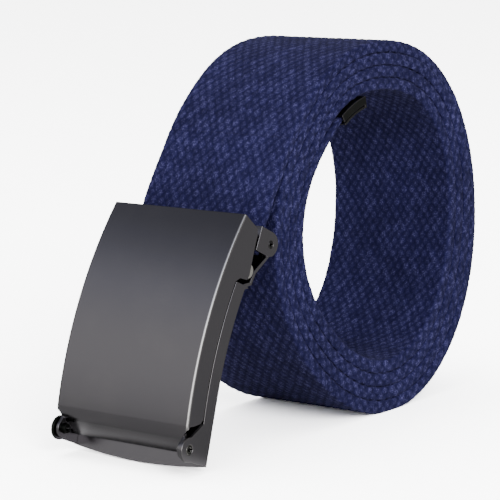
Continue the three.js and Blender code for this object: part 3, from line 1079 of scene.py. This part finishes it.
@dataclass
class Buckle:
    """The plate buckle and the strap's metal tip."""

    route: Route
    plating: NodeTree
    plate_radius: float = 106.4
    clamp_pin_drop: float = 13.3
    clamp_bow_deg: float = 40.5
    half_width: float = 20.2
    fold_reach: float = 0.75
    plate_edge: float = 1.0
    wall_reach: float = 1.0
    lip_top: float = 2.6
    ear_reach: float = 3.0
    ear_top: float = 13.0

    def __post_init__(self) -> None:
        """Reads how high the plate reaches."""
        self.plate_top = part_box("buckle_lid")[1][2] / MM

    @property
    def bow_axis(self) -> np.ndarray:
        """The axis that the plate is bent about, in the row frame.

        Returns:
            The axis as a point.
        """
        radius = self.plate_radius - self.clamp_pin_drop
        turn = math.radians(self.clamp_bow_deg)
        pin = self.route.pin + self.route.middle
        return pin + np.array([radius * math.cos(turn), -radius * math.sin(turn)])

    def on_plate_fold(self, places: Sequence[Vector]) -> bool:
        """Whether points all lie on one long fold between the plate and a flange.

        Args:
            places: The points.

        Returns:
            Whether they do.
        """
        side = math.copysign(1, places[0].y)
        for place in places:
            away = np.linalg.norm(np.array([place.x, place.z]) - self.bow_axis)
            across = self.half_width - side * place.y
            if abs(away - self.plate_radius) > self.fold_reach or across > self.fold_reach:
                return False
        return True

    def on_shaded_plate_edge(self, places: Sequence[Vector]) -> bool:
        """Whether points all lie on the plate's top edge or on its far fold, where shade is
        painted.
        """
        on_far_fold = places[0].y > 0 and self.on_plate_fold(places)
        return on_far_fold or all(place.z > self.plate_top - self.plate_edge for place in places)

    def on_far_ear(self, places: Sequence[Vector]) -> bool:
        """Whether points all lie on the far ear that carries the hinge, where shade is painted."""
        inner = self.half_width - self.ear_reach
        return all(place.y > inner and place.z < self.ear_top for place in places)

    def on_lip_corner(self, places: Sequence[Vector]) -> bool:
        """Whether points all lie where a side wall ends on the tray's lip."""
        inner = self.half_width - self.wall_reach
        return all(abs(place.y) > inner and place.z < self.lip_top for place in places)

    def build(self) -> list[Object]:
        """Makes every metal piece.

        Returns:
            The pieces.
        """
        finishes = {metal: metal.value.material(self.plating) for metal in Metal}
        dark, edge = finishes[Metal.GUNMETAL], finishes[Metal.WORN_AND_HIGHLIT_EDGE]
        steel, black_and_shade = finishes[Metal.STEEL], finishes[Metal.BLACKENED_AND_SHADE]
        pieces = [
            # The lid: a painted highlight on its near fold, painted shade on its top edge and far
            # fold
            MetalPiece("buckle_lid", "lid", "gunmetal", dark, finishes[Metal.HIGHLIT_FOLD],
                       is_fold=self.on_plate_fold,
                       shade_outline=black_and_shade, is_shade_outline=self.on_shaded_plate_edge),
            # The frame: edges lightened as wear and painted highlight, painted shade on the far
            # ear
            MetalPiece("buckle_frame", "belt", "gunmetal", dark, edge,
                       keeps_sharp=self.on_lip_corner, shade_outline=black_and_shade, is_shade_outline=self.on_far_ear),
            MetalPiece("clamp_bracket", "belt", "gunmetal", dark, edge),
            MetalPiece("clamp_pin", "belt", "gunmetal", black_and_shade, edge, rounding=0.06),
            MetalPiece("snap_bar", "belt", "bare_steel", steel, steel, rounding=0.1),
            MetalPiece("hinge_pin_near", "belt", "bare_steel", black_and_shade, steel, rounding=0.05),
            # Painted shade on the far pin's edges, where the near pin's are bare steel
            MetalPiece("hinge_pin_far", "belt", "bare_steel", black_and_shade, black_and_shade, rounding=0.05),
            MetalPiece("strap_tip", "belt", "gunmetal", black_and_shade, edge, rounding=0.1),
        ]
        return [piece.build() for piece in pieces]


# Studio


@dataclass(frozen=True)
class Lamp:
    """One square soft light. Metres and watts."""

    name: str
    place: Triple
    aim: Triple
    size: float
    watts: float


@dataclass
class Studio:
    """Floor, soft lights and the photograph's camera. Metres."""

    route: Route
    lens: float = 165.6
    eye: Triple = (-0.49800, -0.34321, 0.13543)
    coil_middle_seen: Pair = (-0.002969, 0.049557)
    right: Triple = (0.5948, -0.8039, -0.0039)
    up: Triple = (0.1252, 0.0878, 0.9882)
    clip: Pair = (0.02, 40)
    lamps: tuple[Lamp, ...] = (
        Lamp("key", (-0.75, -1.1, 0.75), (0, 0, 0.04), 0.6, 15),
        Lamp("top", (-0.1, 0.1, 1.5), (0, 0, 0.05), 0.9, 5),
    )
    floor_radius: float = 8.0
    floor_level: float = 0.95
    floor_seen_level: float = 6.5
    room_level: float = 0.95
    gloss_dim: float = 0.26
    # Painted reflection: the floor's levels as the metal's gloss sees them, with a band by the
    # buckle's foot
    foot_reflection_reach: Pair = (-0.085, -0.045)
    foot_reflection_levels: tuple[Pair, ...] = (
        (0.0, 0.33), (0.52, 0.36), (0.6, 0.48), (0.66, 1.05), (0.73, 1.15), (1.0, 0.29),
    )
    panel_side: Triple = (-0.8, 0.6, 0)
    panel_edges: Pair = (0.62, 0.86)
    panel_lowest: float = -0.2
    panel_ends: Pair = (0.3, 0.16)
    cool_heights: Pair = (0.4, 0.7)
    near_panel_gain: float = 4.2
    panel_levels: tuple[Pair, ...] = (
        (-0.03, 0.42), (0.14, 0.76), (0.25, 0.97), (0.39, 1.0),
        (0.57, 0.8), (0.66, 0.43), (0.76, 0.2),
    )

    def camera(self) -> None:
        """Makes the camera where the photograph was taken."""
        data = bpy.data.cameras.new("camera")
        data.lens = self.lens
        data.sensor_width = 36
        data.clip_start, data.clip_end = self.clip
        camera = placed("camera", data)
        right = Vector(self.right).normalized()
        up = Vector(self.up)
        back = right.cross(up).normalized()
        up = back.cross(right)
        shift = self.route.middle * MM - np.array(self.coil_middle_seen)
        move = Vector((shift[0], 0, shift[1]))
        turn = Matrix((right, up, back)).transposed().to_4x4()
        camera.matrix_world = Matrix.Translation(Vector(self.eye) + move) @ turn
        bpy.context.scene.camera = camera

    def floor(self) -> None:
        """Makes the plain pale floor, evenly bright to the camera; to the metal's gloss it shows
        darker levels with a brighter band by the buckle's foot, a painted reflection.
        """
        mesh = bpy.data.meshes.new("floor")
        r = self.floor_radius
        mesh.from_pydata([(-r, -r, 0), (r, -r, 0), (r, r, 0), (-r, r, 0)], [], [(0, 1, 2, 3)])
        material, g, shader = shader_of("pale_floor")
        rays = g.node("ShaderNodeLightPath").outputs
        pale, bright = (grey(level) for level in (self.floor_level, self.floor_seen_level))
        place = g.node("ShaderNodeTexCoord").outputs["Object"]
        across = g.node("ShaderNodeSeparateXYZ", {0: place}).outputs[0]
        ramp = g.node("ShaderNodeValToRGB", {0: g.spread(across, *self.foot_reflection_reach, 0, 1)})
        stops = ramp.color_ramp.elements
        for share, _ in self.foot_reflection_levels[1:-1]:
            stops.new(share)
        for stop, (share, level) in zip(stops, self.foot_reflection_levels):
            stop.position = share
            stop.color = grey(level)
        # Painted reflection: glossy rays see the banded levels in place of the pale floor
        seen = g.mix(rays["Is Glossy Ray"], pale, ramp.outputs[0])
        g.feed(shader.inputs["Base Color"], g.mix(rays["Is Camera Ray"], seen, bright))
        g.fill(shader.inputs, {"Roughness": 0.9, "Specular IOR Level": 0.0})
        mesh.materials.append(material)
        floor = placed("floor", mesh)

    def light(self, lamp: Lamp) -> None:
        """Makes one of the lamps.

        Args:
            lamp: The lamp's place, size and power.
        """
        data = bpy.data.lights.new(lamp.name, "AREA")
        data.size = lamp.size
        data.energy = lamp.watts
        light = placed(lamp.name, data)
        light.visible_glossy = False
        light.location = lamp.place
        light.rotation_mode = "QUATERNION"
        way = Vector(lamp.aim) - Vector(lamp.place)
        light.rotation_quaternion = way.to_track_quat("-Z", "Y")

    def sky(self) -> None:
        """Makes the room: an even white light, in which gloss sees two tall soft panels."""
        world = bpy.data.worlds.new("room")
        bpy.context.scene.world = world
        world.use_nodes = True
        tree = world.node_tree
        g = Graph(tree)
        way = g.node("ShaderNodeTexCoord").outputs["Generated"]
        split = g.node("ShaderNodeSeparateXYZ", {0: way}).outputs
        lowest = self.panel_lowest
        ramp = g.node("ShaderNodeValToRGB", {0: g.spread(split[2], lowest, 1, 0, 1)})
        stops = ramp.color_ramp.elements
        for i, level in enumerate(self.panel_ends):
            stops[i].position = i
            stops[i].color = grey(level)
        for height, level in self.panel_levels:
            stop = stops.new((height - lowest) / (1 - lowest))
            cool = smoothstep(np.array(height), *self.cool_heights)
            stop.color = (level * (1 - 0.05 * cool), level, level * (1 + 0.2 * cool), 1)
        either_side = g.math("ABSOLUTE", split[1])
        flat = g.node("ShaderNodeCombineXYZ", {0: split[0], 1: either_side}).outputs[0]
        level_way = g.node("ShaderNodeVectorMath", {0: flat}, operation="NORMALIZE").outputs[0]
        side = g.node(
            "ShaderNodeVectorMath", {0: level_way, 1: self.panel_side}, operation="DOT_PRODUCT"
        ).outputs[1]
        share = g.spread(side, *self.panel_edges, 0, 1)
        seen = g.mix(share, grey(self.gloss_dim), ramp.outputs[0])
        room = g.node("ShaderNodeBackground", {0: (1, 1, 1, 1), 1: self.room_level}).outputs[0]
        near_side = g.times(share, g.spread(split[1], -0.05, 0.05, 1, 0))
        gain = g.math("MULTIPLY_ADD", near_side, self.near_panel_gain - 1, 1.0)
        shine = g.node("ShaderNodeBackground", {0: seen, 1: gain}).outputs[0]
        glossy = g.node("ShaderNodeLightPath").outputs["Is Glossy Ray"]
        mixed = g.node("ShaderNodeMixShader", {0: glossy, 1: room, 2: shine}).outputs[0]
        g.feed(tree.nodes["World Output"].inputs[0], mixed)

    def build(self) -> None:
        """Sets up the whole studio."""
        self.camera()
        self.floor()
        self.sky()
        for lamp in self.lamps:
            self.light(lamp)


def main() -> None:
    """Builds the belt and its studio, and reports each piece."""
    logging.basicConfig(level=logging.INFO, format="%(message)s")
    route = Route()
    LOG.info("strap length %.1f mm, coil middle %s", route.total, route.middle)
    Studio(route).build()
    webbing = Webbing(route).build(WebbingFinish().material(yarn_group()))
    metal = Buckle(route, plating_group()).build()
    for piece in [*webbing, *metal]:
        LOG.info("%s: %d faces", piece.name, len(piece.data.polygons))


if __name__ == "__main__":
    main()
